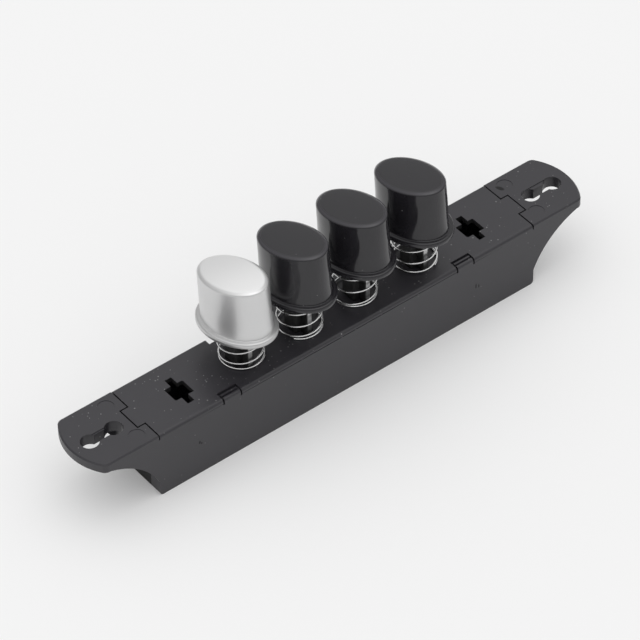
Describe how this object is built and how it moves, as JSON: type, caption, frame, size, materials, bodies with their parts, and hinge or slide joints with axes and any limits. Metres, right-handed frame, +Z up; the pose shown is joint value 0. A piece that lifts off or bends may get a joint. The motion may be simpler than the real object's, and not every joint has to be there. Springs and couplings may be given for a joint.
{
  "type": "piano key switch",
  "caption": "Long flat push-button switch: a row of oval spring-return keys over a moulded housing with slotted fixing ears, one silver cap, the rest black, and an open aperture at each end.",
  "frame": {"origin": "middle of the housing's length and width, on the plane of its bottom rim", "axes": "+X along the key row, away from the silver cap's end; +Y to the rear, where the cap tops are lower; +Z up, against the keys' travel"},
  "size_m": [0.1704, 0.0271, 0.0546],
  "materials": {
    "housing_plastic": "fine matt black moulding",
    "cap_black": "satin black moulding",
    "cap_silver": "satin silver paint on plastic",
    "plunger_plastic": "smooth black moulding",
    "spring_steel": "bright drawn wire",
    "sheet_steel": "zinc plated",
    "contact_brass": "stamped"
  },
  "bodies": {
    "switch_body": {"housing": "housing_plastic", "top_cover": "housing_plastic", "common_terminal": "contact_brass", "terminal_1": "contact_brass", "terminal_2": "contact_brass", "terminal_3": "contact_brass", "terminal_4": "contact_brass", "lock_leaf_spring": "spring_steel", "return_spring_1": "spring_steel", "return_spring_2": "spring_steel", "return_spring_3": "spring_steel", "return_spring_4": "spring_steel"},
    "key_1": {"plunger_1": "plunger_plastic", "key_cap_1": "cap_silver", "contact_leaf_1": "spring_steel"},
    "bridge_1": {"contact_bridge_1": "contact_brass"},
    "key_2": {"plunger_2": "plunger_plastic", "key_cap_2": "cap_black", "contact_leaf_2": "spring_steel"},
    "bridge_2": {"contact_bridge_2": "contact_brass"},
    "key_3": {"plunger_3": "plunger_plastic", "key_cap_3": "cap_black", "contact_leaf_3": "spring_steel"},
    "bridge_3": {"contact_bridge_3": "contact_brass"},
    "key_4": {"plunger_4": "plunger_plastic", "key_cap_4": "cap_black", "contact_leaf_4": "spring_steel"},
    "bridge_4": {"contact_bridge_4": "contact_brass"},
    "lock_slide": {"lock_bar": "sheet_steel"}
  },
  "joints": [
    {"name": "key_1_press", "type": "slide", "parent": "switch_body", "child": "key_1", "axis": [0, 0, -1], "range_m": [0, 0.005], "stiffness_N_per_m": 250, "springref_m": -0.004, "deforming": ["return_spring_1"]},
    {"name": "bridge_1_overtravel", "type": "slide", "parent": "key_1", "child": "bridge_1", "axis": [0, 0, 1], "range_m": [0, 0.0008], "stiffness_N_per_m": 60, "springref_m": -0.006, "deforming": ["contact_leaf_1"]},
    {"name": "key_2_press", "type": "slide", "parent": "switch_body", "child": "key_2", "axis": [0, 0, -1], "range_m": [0, 0.005], "stiffness_N_per_m": 250, "springref_m": -0.004, "deforming": ["return_spring_2"]},
    {"name": "bridge_2_overtravel", "type": "slide", "parent": "key_2", "child": "bridge_2", "axis": [0, 0, 1], "range_m": [0, 0.0008], "stiffness_N_per_m": 60, "springref_m": -0.006, "deforming": ["contact_leaf_2"]},
    {"name": "key_3_press", "type": "slide", "parent": "switch_body", "child": "key_3", "axis": [0, 0, -1], "range_m": [0, 0.005], "stiffness_N_per_m": 250, "springref_m": -0.004, "deforming": ["return_spring_3"]},
    {"name": "bridge_3_overtravel", "type": "slide", "parent": "key_3", "child": "bridge_3", "axis": [0, 0, 1], "range_m": [0, 0.0008], "stiffness_N_per_m": 60, "springref_m": -0.006, "deforming": ["contact_leaf_3"]},
    {"name": "key_4_press", "type": "slide", "parent": "switch_body", "child": "key_4", "axis": [0, 0, -1], "range_m": [0, 0.005], "stiffness_N_per_m": 250, "springref_m": -0.004, "deforming": ["return_spring_4"]},
    {"name": "bridge_4_overtravel", "type": "slide", "parent": "key_4", "child": "bridge_4", "axis": [0, 0, 1], "range_m": [0, 0.0008], "stiffness_N_per_m": 60, "springref_m": -0.006, "deforming": ["contact_leaf_4"]},
    {"name": "lock_bar_slide", "type": "slide", "parent": "switch_body", "child": "lock_slide", "axis": [-1, 0, 0], "range_m": [0, 0.0012], "stiffness_N_per_m": 200, "springref_m": 0.0035, "deforming": ["lock_leaf_spring"]}
  ]
}
